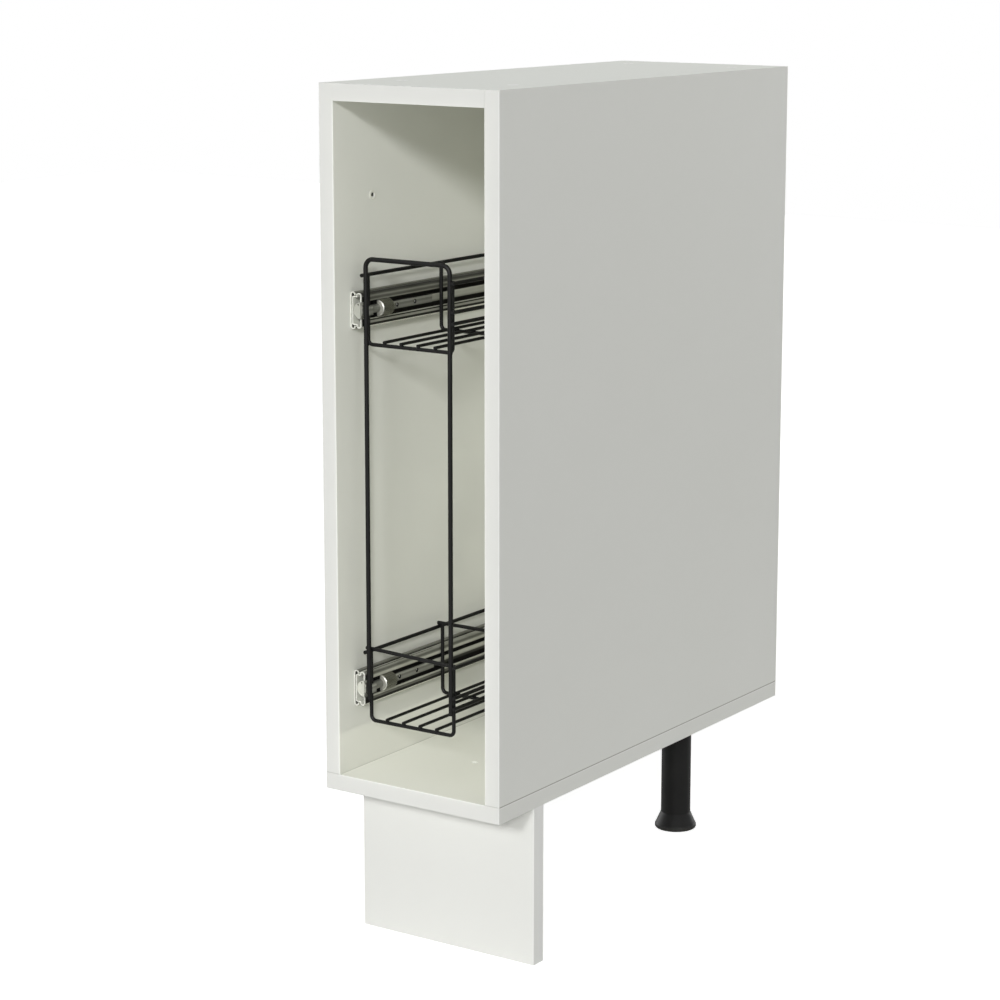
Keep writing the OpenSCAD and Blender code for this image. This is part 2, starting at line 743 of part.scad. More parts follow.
module clip_screws(z) {
    color([0.72, 0.72, 0.7]) carcass_frame() for (s = [-1, 1]) {
        y = rear_clip_y + s * clip_screw_out;
        bar_x([board_t + bar_face_v - sheet - 1.5, y, z], sheet + 1.5 + strap_t, clip_screw_d);
        bar_x([board_t + slide_t, y, z], 1.4, clip_screw_d + 1.8);
    }
}

module upper_cabinet_member() { cabinet_member(upper_slide_z); }
module upper_slide_screws() { slide_screws(upper_slide_z); }
module upper_rear_bumper() { rear_bumper(upper_slide_z); }
module upper_outer_cage() { outer_cage(upper_slide_z); }
module upper_outer_balls() { balls(upper_slide_z, outer_race); }
module upper_middle_member() { middle_member(upper_slide_z); }
module upper_inner_cage() { inner_cage(upper_slide_z); }
module upper_inner_balls() { balls(upper_slide_z, inner_race); }
module upper_drawer_member() { drawer_member(upper_slide_z); }
module upper_hanger() { hanger(upper_slide_z); }
module upper_knurled_nut() { knurled_nut(upper_slide_z); }
module upper_rear_clip() { rear_clip(upper_slide_z); }
module upper_clip_screws() { clip_screws(upper_slide_z); }
module lower_cabinet_member() { cabinet_member(lower_slide_z); }
module lower_slide_screws() { slide_screws(lower_slide_z); }
module lower_rear_bumper() { rear_bumper(lower_slide_z); }
module lower_outer_cage() { outer_cage(lower_slide_z); }
module lower_outer_balls() { balls(lower_slide_z, outer_race); }
module lower_middle_member() { middle_member(lower_slide_z); }
module lower_inner_cage() { inner_cage(lower_slide_z); }
module lower_inner_balls() { balls(lower_slide_z, inner_race); }
module lower_drawer_member() { drawer_member(lower_slide_z); }
module lower_hanger() { hanger(lower_slide_z); }
module lower_knurled_nut() { knurled_nut(lower_slide_z); }
module lower_rear_clip() { rear_clip(lower_slide_z); }
module lower_clip_screws() { clip_screws(lower_slide_z); }

// Wires

// A quarter bend in the XZ plane: origin at its centre, from angle a
module bend(r, d, a) {
    rotate([90, 0, 0]) rotate([0, 0, a]) rotate_extrude(angle = 90) translate([r, 0]) circle(d = d);
}

// A U of wire in the XZ plane, open at the top: origin at its lower left corner
module u_wire(w, h, r, d) {
    bar_z([0, 0, r], h - r, d);
    bar_z([w, 0, r], h - r, d);
    bar_x([r, 0, 0], w - 2 * r, d);
    translate([r, 0, r]) bend(r, d, 180);
    translate([w - r, 0, r]) bend(r, d, 270);
}

wire_black = [0.1, 0.1, 0.1];

module portal_frame() {
    top = upper_slide_z + portal_rise;
    low = lower_slide_z - portal_drop;
    width = basket_w - 2 * (rod_x - hoop_x);
    color(wire_black) carcass_frame() translate([rod_x, portal_y, top]) mirror([0, 0, 1])
        u_wire(width, top - low, portal_bend, rod_d);
}

module hoops(z, rail_h) {
    color(wire_black) carcass_frame() for (y = hoop_ys) translate([hoop_x, y, z])
        u_wire(basket_w, rail_h + wire_r - weld, hoop_bend, wire_d);
}

module rails(z, rail_h) {
    color(wire_black) carcass_frame() {
        bar_y([left_rail_x, rail_y0, z + rail_h], rail_y1 - rail_y0, wire_d);
        for (h = [rail_h, mid_rail_h, low_rail_h])
            bar_y([right_rail_x, rail_y0, z + h], rail_y1 - rail_y0, wire_d);
    }
}

module floor_wires_at(z) {
    rise = wire_r + floor_wire_d / 2 - weld;
    color(wire_black) carcass_frame() for (i = [1:floor_wires])
        bar_y([hoop_x + basket_w * i / (floor_wires + 1), hoop_y - wire_r, z + rise],
            basket_l + wire_d, floor_wire_d);
}

// A wire across the basket from rail to rail
module cross_wire(y, z) {
    bar_x([left_rail_x - wire_r, y, z], right_rail_x - left_rail_x + wire_d, wire_d);
}

module upper_hoops() { hoops(upper_basket_z, upper_rail_h); }
module upper_rails() { rails(upper_basket_z, upper_rail_h); }
module upper_floor_wires() { floor_wires_at(upper_basket_z); }
module upper_rear_wires() {
    color(wire_black) carcass_frame()
        cross_wire(hoop_ys[bays], upper_basket_z + upper_rail_h + rail_gap);
}
module lower_hoops() { hoops(lower_basket_z, lower_rail_h); }
module lower_rails() { rails(lower_basket_z, lower_rail_h); }
module lower_floor_wires() { floor_wires_at(lower_basket_z); }

// The front cross wire runs down to the right and ends on the upright of the first hoop
module lower_cross_wires() {
    z = lower_basket_z + lower_rail_h + rail_gap;
    run = hoop_x + basket_w - wire_r - left_rail_x;
    tilt = atan(front_wire_drop / run);
    color(wire_black) carcass_frame() {
        for (i = [1:bays]) cross_wire(hoop_ys[i], z);
        translate([left_rail_x, hoop_ys[0], z]) rotate([0, tilt, 0])
            bar_x([-wire_r, 0, 0], wire_r + (run + weld) / cos(tilt), wire_d);
    }
}

left_side();
right_side();
top_panel();
bottom_panel();
back_panel();
front_edge_bands();
dowels();
eyelet();
plinth_board();
plinth_clip();
plinth_clip_screws();
front_leg_socket();
rear_leg_socket();
leg_screws();
front_leg_tube();
rear_leg_tube();
front_foot();
rear_foot();
upper_cabinet_member();
upper_slide_screws();
upper_rear_bumper();
upper_outer_cage();
upper_outer_balls();
upper_middle_member();
upper_inner_cage();
upper_inner_balls();
upper_drawer_member();
upper_hanger();
upper_knurled_nut();
upper_rear_clip();
upper_clip_screws();
lower_cabinet_member();
lower_slide_screws();
lower_rear_bumper();
lower_outer_cage();
lower_outer_balls();
lower_middle_member();
lower_inner_cage();
lower_inner_balls();
lower_drawer_member();
lower_hanger();
lower_knurled_nut();
lower_rear_clip();
lower_clip_screws();
portal_frame();
upper_hoops();
upper_rails();
upper_floor_wires();
upper_rear_wires();
lower_hoops();
lower_rails();
lower_floor_wires();
lower_cross_wires();
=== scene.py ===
"""A narrow white base cabinet with a black two-tier wire pull-out: finishes, fasteners, welds and a pale studio.

Sizes are in millimetres along the frame's own axes and become metres where a mesh or a light is made.
"""

import json
import math
import random

import bmesh
import bpy
from mathutils import Matrix, Vector


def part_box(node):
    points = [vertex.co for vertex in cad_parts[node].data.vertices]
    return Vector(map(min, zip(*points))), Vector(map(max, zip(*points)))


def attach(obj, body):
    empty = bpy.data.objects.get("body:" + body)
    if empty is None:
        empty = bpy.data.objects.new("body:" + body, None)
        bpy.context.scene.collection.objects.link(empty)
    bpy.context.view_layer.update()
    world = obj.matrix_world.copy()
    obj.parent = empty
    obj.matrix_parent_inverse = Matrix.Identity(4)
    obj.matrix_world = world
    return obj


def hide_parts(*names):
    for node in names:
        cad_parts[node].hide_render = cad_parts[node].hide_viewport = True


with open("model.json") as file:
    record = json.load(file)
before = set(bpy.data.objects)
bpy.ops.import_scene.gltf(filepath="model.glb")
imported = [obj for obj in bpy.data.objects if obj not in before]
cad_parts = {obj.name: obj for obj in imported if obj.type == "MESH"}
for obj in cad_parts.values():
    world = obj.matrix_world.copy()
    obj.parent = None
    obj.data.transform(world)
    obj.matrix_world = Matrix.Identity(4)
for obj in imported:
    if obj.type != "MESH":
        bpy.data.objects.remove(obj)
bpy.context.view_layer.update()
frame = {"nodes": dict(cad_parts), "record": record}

MM = 0.001
SIDES = ("upper", "lower")


# Shader helpers


class Reading:
    """A shader socket that arithmetic is written with: each expression adds its Math node."""

    def __init__(self, nodes, socket):
        self.nodes = nodes
        self.socket = socket

    def math(self, operation, *values):
        return self.nodes.node("Math", {"operation": operation}, dict(enumerate(values)))

    def __add__(self, other):
        return self.math("ADD", self, other)

    def __radd__(self, other):
        return self.math("ADD", other, self)

    def __sub__(self, other):
        return self.math("SUBTRACT", self, other)

    def __rsub__(self, other):
        return self.math("SUBTRACT", other, self)

    def __mul__(self, other):
        return self.math("MULTIPLY", self, other)

    def __rmul__(self, other):
        return self.math("MULTIPLY", other, self)

    def __truediv__(self, other):
        return self.math("DIVIDE", self, other)

    def __gt__(self, other):
        return self.math("GREATER_THAN", self, other)

    def __lt__(self, other):
        return self.math("LESS_THAN", self, other)

    def __abs__(self):
        return self.math("ABSOLUTE", self)

    def root(self):
        return self.math("SQRT", self)

    def wave(self):
        """A triangle wave with a period of 1, between 0 and 1."""
        return self.math("PINGPONG", self, 0.5) * 2

    def at(self, place, reach):
        """1 within a reach of a place, otherwise 0."""
        return self.math("COMPARE", self, place, reach)

    def either(self, other):
        """The higher of two readings, so that two masks join."""
        return self.math("MAXIMUM", self, other)


class Nodes:
    """The node tree of a material or a world, emptied and being made."""

    def __init__(self, owner):
        owner.use_nodes = True
        self.tree = owner.node_tree
        self.tree.nodes.clear()

    def node(self, kind, settings, values, output=0):
        """Any shader node: its settings are set first, then its sockets get values or links. The stops of a colour
        ramp are (place, level) pairs.
        """
        made = self.tree.nodes.new("ShaderNode" + kind)
        for key, value in settings.items():
            if key == "stops":
                for place, level in value:
                    made.color_ramp.elements.new(place).color = (level, level, level, 1)
                made.color_ramp.elements.remove(made.color_ramp.elements[0])
                made.color_ramp.elements.remove(made.color_ramp.elements[-1])
            else:
                setattr(made, key, value)
        for key, value in values.items():
            if isinstance(value, Reading):
                self.tree.links.new(value.socket, made.inputs[key])
            else:
                made.inputs[key].default_value = value
        return Reading(self, made.outputs[output]) if len(made.outputs) else None


class Finish(Nodes):
    """A material being made: its pattern's place, its patterns and its last surface."""

    def __init__(self, name):
        self.material = bpy.data.materials.new(name)
        super().__init__(self.material)
        self.place = self.node("TexCoord", {}, {}, "Object")

    def axes(self, centre=(0, 0, 0)):
        """Object coordinates in millimetres, counted from a centre, as three readings."""
        moved = self.node("VectorMath", {"operation": "MULTIPLY_ADD"},
                          {0: self.place, 1: (1 / MM,) * 3, 2: tuple(-c for c in centre)})
        return [self.node("SeparateXYZ", {}, {0: moved}, axis) for axis in "XYZ"]

    def spread(self, size, stretch=(1, 1, 1)):
        """The place, counted in steps of size millimetres, each axis times its stretch."""
        return self.node("VectorMath", {"operation": "MULTIPLY"},
                         {0: self.place, 1: tuple(s / (size * MM) for s in stretch)})

    def noise(self, size, detail=2.0, stretch=(1, 1, 1)):
        """Soft noise between 0 and 1 whose spots are about size millimetres across."""
        place = self.spread(size, stretch)
        return self.node("TexNoise", {}, {"Vector": place, "Scale": 1.0, "Detail": detail}, "Fac")

    def flakes(self, size):
        """A random level for each flake of about size millimetres."""
        colour = self.node("TexVoronoi", {}, {"Vector": self.spread(size), "Scale": 1.0}, "Color")
        return self.node("SeparateColor", {}, {0: colour})

    def between(self, reading, low, high):
        """Spreads the stretch from low to high over 0 to 1."""
        return self.node("MapRange", {}, {"Value": reading, "From Min": low, "From Max": high})

    def profile(self, reading, *stops):
        """A level between 0 and 1 along a reading, drawn straight from each (place, level) to the next."""
        low, high = stops[0][0] - 1, stops[-1][0] + 1
        spread = [((place - low) / (high - low), level) for place, level in stops]
        return self.node("ValToRGB", {"stops": spread}, {0: self.between(reading, low, high)})

    def facing(self):
        """The surface's own direction as three readings."""
        normal = self.node("TexCoord", {}, {}, "Normal")
        return [self.node("SeparateXYZ", {}, {0: normal}, axis) for axis in "XYZ"]

    def blend(self, mask, first, second):
        """A colour between two colours."""
        colours = {6: first, 7: second}
        colours = {k: c if isinstance(c, Reading) else (*c, 1) for k, c in colours.items()}
        return self.node("Mix", {"data_type": "RGBA"}, {0: mask, **colours}, 2)

    def surface(self, colour, roughness, bumps=(), **fixed):
        """Ends the material. Each bump is a height between 0 and 1 and its depth in millimetres."""
        values = {"Base Color": colour if isinstance(colour, Reading) else (*colour, 1), "Roughness": roughness}
        for height, depth in bumps:
            under = {"Normal": values["Normal"]} if "Normal" in values else {}
            values["Normal"] = self.node("Bump", {}, {"Height": height, "Distance": depth * MM, **under})
        values.update({key.replace("_", " "): value for key, value in fixed.items()})
        shader = self.node("BsdfPrincipled", {}, values)
        self.node("OutputMaterial", {}, {"Surface": shader})
        return self.material


# Places and sizes that the finishes read

# The boards' faces and joints. A mask takes in a face from FACE under it.
FACE = 0.05
REAR_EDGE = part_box("left_side")[1].y / MM - FACE
BACK_PANEL_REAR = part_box("back_panel")[1].y / MM - FACE
OUTER_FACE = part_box("right_side")[1].x / MM - FACE
INNER_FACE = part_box("right_side")[0].x / MM
FLOOR_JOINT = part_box("right_side")[0].z / MM
TOP_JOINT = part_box("top_panel")[0].z / MM
TOP_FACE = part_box("top_panel")[1].z / MM - FACE
MOUTH_CENTRE = (FLOOR_JOINT + TOP_JOINT) / 2
MOUTH_HALF = (TOP_JOINT - FLOOR_JOINT) / 2

# Thin lines on the boards: how far a line's middle lies from its joint or face, and how far it reaches from there.
SEAM_OVER, SEAM_REACH = 0.2, 0.5
TOP_SEAM_REACH = 0.25
# The next four place painted highlight lines along edges and under the sides' joint.
HIGHLIGHT_INSET, HIGHLIGHT_REACH = 0.3, 0.5
SIDE_HIGHLIGHT_UNDER, SIDE_HIGHLIGHT_REACH = 0.9, 0.5
BAND_HIGHLIGHT_REACH = 0.7
PLINTH_HIGHLIGHT_REACH = 0.8
CORNER_REACH = 0.6

# The four worktop holes lie this far from the middle plane, and this far before and behind a middle line. The last
# is the radius of the painted highlight ring round each.
HOLES_ASIDE = 62
HOLES_LINE = 13.5
HOLES_ALONG = 199
HOLE_HIGHLIGHT_RADIUS = 5.5

# Painted shade at the wall's foot: darkest on the floor, half as dark at the second height, none above the third.
FOOT_SHADE_HALF = 70
FOOT_SHADE_TOP = 260

# Radii round the eyelet's axis, the painted highlight crescent's start across it, and what of the bore gets painted
# shade.
EYELET_BORE = 2.53
EYELET_HIGHLIGHT_FROM = 2.24
EYELET_HIGHLIGHT_TO = 3.74
CRESCENT = 1.2
DARK_FROM = 5.1
DARK_HALF = 1.7

# A foot's rim is rubbed up to this height.
RUBBED_HEIGHT = 6

# Distances on a slide: out from the wall's face, back from the slide's front end, or up from its centre.
SLIDE_LOW, SLIDE_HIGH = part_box("lower_cabinet_member"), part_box("upper_cabinet_member")
SLIDE_STEP = (SLIDE_HIGH[0].z - SLIDE_LOW[0].z) / MM
SLIDE_CENTRE = (SLIDE_LOW[0].z + SLIDE_LOW[1].z) / 2 / MM
SLIDE_FRONT = SLIDE_LOW[0].y / MM
# The distances below bound the painted light and shade on the slides.
CUT_END_BACK = 1.2
SLIDE_MOUTH_BACK = 16
SHADED_LIP_BACK = 8
WEB_OUT = 1.8
MIDDLE_OUT = 7
LIP_OUT = 11
STRAP_OUT = 11.4
SHADED_LIP_UP = 13
BOTTOM_LINE_UP = -14.8
CHANNEL_UP = 15.5

# Distances on a hanger, counted in the same way. The strap's holes get painted shade from STRAP_REAR_OUT outwards.
NUT_LOW, NUT_HIGH = (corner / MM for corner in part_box("lower_knurled_nut"))
HANGER_END_BACK = (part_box("lower_hanger")[1] - SLIDE_LOW[0]).y / MM
MOUTH_PLATE_BACK = 3
STUD_OUT = (NUT_LOW.x + NUT_HIGH.x) / 2 + INNER_FACE
STUD_REACH = 4.3
STUD_END_BACK = NUT_HIGH.y - SLIDE_FRONT
STRAP_REAR_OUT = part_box("lower_drawer_member")[1].x / MM + INNER_FACE + 0.1
STRAP_HOLES_FROM = STUD_END_BACK + 5
STRAP_HOLES_TO = HANGER_END_BACK - 2
STRAP_HOLE_UP = 3.5

# A nut: its half width and half length, the depth of the barrel's finish, the smooth ends, the rim of an end, which
# gets a painted highlight, the knurls round it and the length of one along it.
NUT_ACROSS = (NUT_HIGH.x - NUT_LOW.x) / 2
NUT_ALONG = (NUT_HIGH.y - NUT_LOW.y) / 2
KNURL_DEPTH = 0.7
NUT_SHOULDER = 0.9
NUT_RIM = 1.1
KNURLS = 30
KNURL_PITCH = 1.7

# Colours of a joint, also used for the painted shade at the walls' foot, and of the painted highlight on the boards'
# edges.
SEAM_AND_SHADE = (0.30, 0.29, 0.25)
EDGE_HIGHLIGHT = (0.95, 0.955, 0.93)


# Finishes


def joints(x, z):
    """The fine dark lines where the boards meet, strongest where the sides stand on the bottom panel."""
    under = z.at(FLOOR_JOINT + SEAM_OVER, SEAM_REACH) * (abs(x) > INNER_FACE)
    beside = abs(x).at(INNER_FACE, TOP_SEAM_REACH) * (z > TOP_JOINT)
    return under.either(0.1 * beside)


def melamine_board():
    """White melamine with a fine pearl grain, a painted highlight ring round each worktop hole, a painted highlight
    line under the joint on the sides' outer faces and painted shade at the foot of the inside walls. The rear edges
    have no band and show the chips of the core.
    """
    f = Finish("melamine_board")
    x, y, z = f.axes()
    bare = y > REAR_EDGE
    outside = (abs(x) > OUTER_FACE).either(z > TOP_FACE)
    inside = 1 - outside

    chips = f.blend(f.flakes(2.2), (0.60, 0.44, 0.27), (0.36, 0.25, 0.14))
    core = f.blend(f.noise(0.9), chips, (0.70, 0.55, 0.37))

    aside = abs(x) - HOLES_ASIDE
    along = abs(y - HOLES_LINE) - HOLES_ALONG
    # Painted highlight ring round each worktop hole.
    hole_highlight = (z > TOP_FACE) * (aside * aside + along * along < HOLE_HIGHLIGHT_RADIUS ** 2)
    # Painted highlight line just under the joint on the sides' outer faces.
    joint_highlight = z.at(FLOOR_JOINT - SIDE_HIGHLIGHT_UNDER, SIDE_HIGHLIGHT_REACH) * (abs(x) > OUTER_FACE)
    white = f.blend(f.noise(160, 3), (0.80, 0.808, 0.762), (0.82, 0.828, 0.785))
    white = f.blend(z > TOP_FACE, white, (0.79, 0.815, 0.75))
    white = f.blend(hole_highlight.either(0.6 * joint_highlight), white, (0.95, 0.95, 0.93))

    corner = inside * (abs(x) > INNER_FACE - CORNER_REACH) * (z < FLOOR_JOINT + CORNER_REACH)
    # Painted shade at the foot of the inside walls, darkest on the floor.
    foot_shade = f.profile(z, (FLOOR_JOINT, 0.18), (FLOOR_JOINT + FOOT_SHADE_HALF, 0.09), (FLOOR_JOINT + FOOT_SHADE_TOP, 0))
    foot_shade = inside * (z > FLOOR_JOINT) * foot_shade
    # Dark joints and inner corners, joined with the painted shade at the walls' foot.
    seams_and_shade = (joints(x, z) * outside * 0.8).either((corner * 0.4).either(foot_shade))

    colour = f.blend(seams_and_shade, f.blend(bare, white, core), SEAM_AND_SHADE)
    roughness = 0.38 + 0.08 * f.noise(1.1) + 0.4 * bare
    return f.surface(colour, roughness, [(f.noise(0.7, 1), 0.012), (bare * f.noise(1.4), 0.25)])


def edge_band():
    """Satin white edge band, dark in the boards' joints, with painted highlights on its arrises and faintly waved by
    trimming.
    """
    f = Finish("edge_band")
    x, _, z = f.axes()
    white = f.blend(f.noise(90), (0.83, 0.835, 0.80), (0.85, 0.855, 0.82))
    colour = f.blend(joints(x, z) * 0.3, white, SEAM_AND_SHADE)
    # Painted highlights along the band's outer arris, beside the mouth and over and under it.
    outer = abs(x).at(OUTER_FACE, BAND_HIGHLIGHT_REACH)
    upright = abs(x).at(INNER_FACE + HIGHLIGHT_INSET, HIGHLIGHT_REACH) * z.at(MOUTH_CENTRE, MOUTH_HALF)
    over, under = TOP_JOINT + HIGHLIGHT_INSET, FLOOR_JOINT - HIGHLIGHT_INSET
    level = z.at(over, HIGHLIGHT_REACH).either(z.at(under, HIGHLIGHT_REACH)) * (abs(x) < INNER_FACE)
    colour = f.blend(0.6 * outer.either(upright).either(level), colour, EDGE_HIGHLIGHT)
    return f.surface(colour, 0.3 + 0.08 * f.noise(5), [(f.noise(3.5, 1, (1, 1, 0.3)), 0.01)])


def plinth_foil():
    """Satin white foil round the plinth board, with a thin painted highlight on its upright arrises."""
    f = Finish("plinth_foil")
    x, _, _ = f.axes()
    colour = f.blend(f.noise(120, 3), (0.83, 0.835, 0.80), (0.85, 0.855, 0.82))
    # Painted highlight along the plinth's upright arrises.
    colour = f.blend(0.6 * abs(x).at(OUTER_FACE, PLINTH_HIGHLIGHT_REACH), colour, EDGE_HIGHLIGHT)
    return f.surface(colour, 0.33 + 0.08 * f.noise(2), [(f.noise(0.8, 1), 0.01)])


def hardboard():
    """Fibreboard, white inside and bare brown with matted fibres on the rear."""
    f = Finish("hardboard")
    _, y, _ = f.axes()
    bare = y > BACK_PANEL_REAR
    fibres = f.noise(2.5, 4, (1, 1, 0.35))
    brown = f.blend(fibres, (0.30, 0.19, 0.105), (0.47, 0.33, 0.20))
    white = f.blend(f.noise(140), (0.79, 0.797, 0.75), (0.81, 0.817, 0.77))
    return f.surface(f.blend(bare, white, brown), 0.45 + 0.35 * bare,
                     [(f.noise(0.9, 1), 0.01), (bare * fibres, 0.12)])


def beech():
    """Pale beech with its short darker flecks along the dowel."""
    f = Finish("beech")
    colour = f.blend(f.noise(1.2, 3, (0.15, 1, 1)), (0.62, 0.44, 0.26), (0.78, 0.62, 0.42))
    return f.surface(colour, 0.6, [(f.noise(0.6, 2, (0.2, 1, 1)), 0.05)])


def pale_plastic():
    """White moulded plastic, with a painted highlight crescent round the lower rim and painted shade deep in its
    bore.
    """
    f = Finish("pale_plastic")
    low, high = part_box("eyelet")
    x, y, z = f.axes((low + high) / 2 / MM)
    radius = (y * y + z * z).root()
    # Painted highlight crescent on one side of the rim.
    lightened = (radius > EYELET_HIGHLIGHT_FROM) * (radius < EYELET_HIGHLIGHT_TO) * (y - z > CRESCENT)
    # Painted shade deep in the bore.
    dark = (radius < EYELET_BORE) * (x < DARK_FROM) * (abs(z) < DARK_HALF)
    colour = f.blend(f.noise(3), (0.74, 0.745, 0.68), (0.78, 0.785, 0.72))
    colour = f.blend(dark, f.blend(lightened, colour, (0.95, 0.95, 0.91)), (0.10, 0.10, 0.085))
    return f.surface(colour, 0.4 + 0.1 * f.noise(0.8), [(f.noise(0.5), 0.01)])


def moulded_black():
    """Black moulded plastic with an eroded grain."""
    f = Finish("moulded_black")
    colour = f.blend(f.noise(25, 3), (0.008, 0.008, 0.008), (0.012, 0.012, 0.0115))
    return f.surface(colour, 0.42 + 0.14 * f.noise(1.5), [(f.noise(0.45, 2), 0.02)], Specular_IOR_Level=0.2)


def polished_black():
    """Black plastic of the feet, with light rubbing marks round the rim."""
    f = Finish("polished_black")
    _, _, z = f.axes()
    lightened = (1 - f.between(z, 0, RUBBED_HEIGHT)) * f.noise(2.5, 4)
    colour = f.blend(lightened, (0.013, 0.013, 0.013), (0.11, 0.11, 0.10))
    return f.surface(colour, 0.5 + 0.15 * lightened, [(f.noise(7, 2), 0.03)], Specular_IOR_Level=0.16)


def soft_black():
    """Black soft plastic of the stop bumpers."""
    f = Finish("soft_black")
    colour = f.blend(f.noise(4), (0.012, 0.012, 0.012), (0.022, 0.022, 0.021))
    return f.surface(colour, 0.6 + 0.15 * f.noise(0.8), [(f.noise(0.5), 0.03)])


def slide_place(f):
    """How far a point lies out from the wall, back from its slide's front end and up from its centre, and whether
    that is the upper slide.
    """
    x, y, z = f.axes()
    upper = z > SLIDE_CENTRE + SLIDE_STEP / 2
    return x + INNER_FACE, y - SLIDE_FRONT, z - SLIDE_CENTRE - upper * SLIDE_STEP, upper


def rolled_zinc():
    """Zinc-plated slides with rolling streaks and painted light: highlight and shade bands along lips and bar, lit
    differently on the two slides, painted highlights on the cut ends and the bottom edge, a painted shadow on the
    lips' front, painted light at the channel's mouth, and grease with black painted shade deeper in and under the
    strap.
    """
    f = Finish("rolled_zinc")
    out, back, up, upper = slide_place(f)
    nx, ny, _ = f.facing()
    # Painted highlight and shade bands up the slides' face, one set for the upper slide and one, lit differently, for
    # the lower.
    high = f.profile(up, (-17, 0.04), (-12.8, 0.04), (-12.3, 0.6), (-11.5, 0.75), (-10.5, 0.6), (-10, 0.02),
                     (-9.1, 0.02), (-8.8, 1), (-6, 1), (-3.9, 0.35), (-2.4, 0.65), (-1, 0.8), (0.5, 0.75),
                     (2, 0.8), (3.2, 0.9), (3.9, 0.5), (8.2, 0.35), (9, 0.55), (10, 0.2), (11.5, 0.25),
                     (12.6, 0.55), (13.5, 0.45), (14.1, 0.2), (15.6, 0.1), (17, 0.1))
    low = f.profile(up, (-17, 0.04), (-12.5, 0.04), (-11.9, 0.35), (-10.3, 0.28), (-9.9, 0.4), (-9.4, 1),
                    (-6, 1), (-3.9, 0.06), (-1.2, 0.12), (-0.4, 0.7), (1, 1), (3.2, 1), (3.9, 0.4), (8.2, 0.5),
                    (8.9, 1), (10.8, 1), (11.6, 0.5), (12.8, 0.3), (13.8, 0.3), (14.6, 0.55), (15.5, 0.65),
                    (17, 0.65))
    painted_bands = low + (high - low) * upper
    # Painted highlights on the bottom and top edges of the member by the wall.
    wall_side = f.profile(up, (-16.8, 1), (-16.2, 0.2), (16.2, 0.2), (16.8, 0.45))
    # Painted shadow on the lips' outer faces near the front end.
    shaded = (out > LIP_OUT) * (back < SHADED_LIP_BACK) * (abs(up) < SHADED_LIP_UP)
    level = wall_side + (painted_bands - wall_side) * (out > MIDDLE_OUT)
    level = level * (1 - shaded * 0.9)

    # Painted highlight line along the outer member's bottom edge.
    bottom = (out > MIDDLE_OUT) * (up < BOTTOM_LINE_UP)
    # Cut ends and the first of each front end get a painted highlight.
    end = (ny < -0.9).either(back < CUT_END_BACK)
    inner = (out > WEB_OUT) * (out < LIP_OUT) * (nx > -0.5) * (abs(up) < CHANNEL_UP)
    # Painted light just inside the channel's mouth.
    mouth = inner * (back < SLIDE_MOUTH_BACK) * (1 - end)
    # Grease with painted shade: black deeper in the channel and under the strap.
    under_strap = (out > LIP_OUT) * (out < STRAP_OUT) * (back < HANGER_END_BACK)
    grease_and_shade = (inner * (back > SLIDE_MOUTH_BACK)).either(under_strap) * (1 - end)

    lines = f.noise(0.35, 2, (1, 0.012, 1))
    cloud = f.noise(9, 3)
    bright = f.blend(cloud, (0.44, 0.45, 0.39), (0.53, 0.53, 0.465))
    zinc = f.blend(level, (0.008, 0.008, 0.007), bright)
    zinc = f.blend(bottom, zinc, (0.90, 0.90, 0.82))
    # Colour of the grease and painted shade.
    black = f.blend(f.noise(2, 3), (0.006, 0.006, 0.005), (0.02, 0.019, 0.016))
    # Colour of the painted highlight on the cut ends.
    end_highlight = f.blend(f.noise(2.5, 2), (0.45, 0.46, 0.42), (0.95, 0.95, 0.90))
    # Painted light at the mouth, and grease with painted shade behind it.
    colour = f.blend(mouth, f.blend(grease_and_shade, zinc, black), (0.78, 0.79, 0.72))
    colour = f.blend(end, colour, end_highlight)
    metal = (1 - level) * (1 - end) * (1 - mouth) * (1 - grease_and_shade) * 0.4
    roughness = 0.3 + 0.12 * cloud + 0.1 * lines + 0.3 * grease_and_shade
    return f.surface(colour, roughness, [(lines, 0.006), (f.noise(1.2), 0.01)],
                     Metallic=metal, Specular_IOR_Level=0.3)


def cage_strip():
    """Thin bright strip of the ball cages under a film of grease."""
    f = Finish("cage_strip")
    # Here this is only a film of grease.
    grease_and_shade = f.noise(3, 3)
    colour = f.blend(grease_and_shade, (0.60, 0.58, 0.50), (0.50, 0.46, 0.34))
    return f.surface(colour, 0.22 + 0.2 * grease_and_shade, [(grease_and_shade, 0.03)], Metallic=1.0)


def bearing_steel():
    """Polished balls with a thin film of grease."""
    f = Finish("bearing_steel")
    colour = f.blend(f.noise(1.5), (0.72, 0.72, 0.72), (0.62, 0.61, 0.57))
    return f.surface(colour, 0.08 + 0.1 * f.noise(1.1), Metallic=1.0)


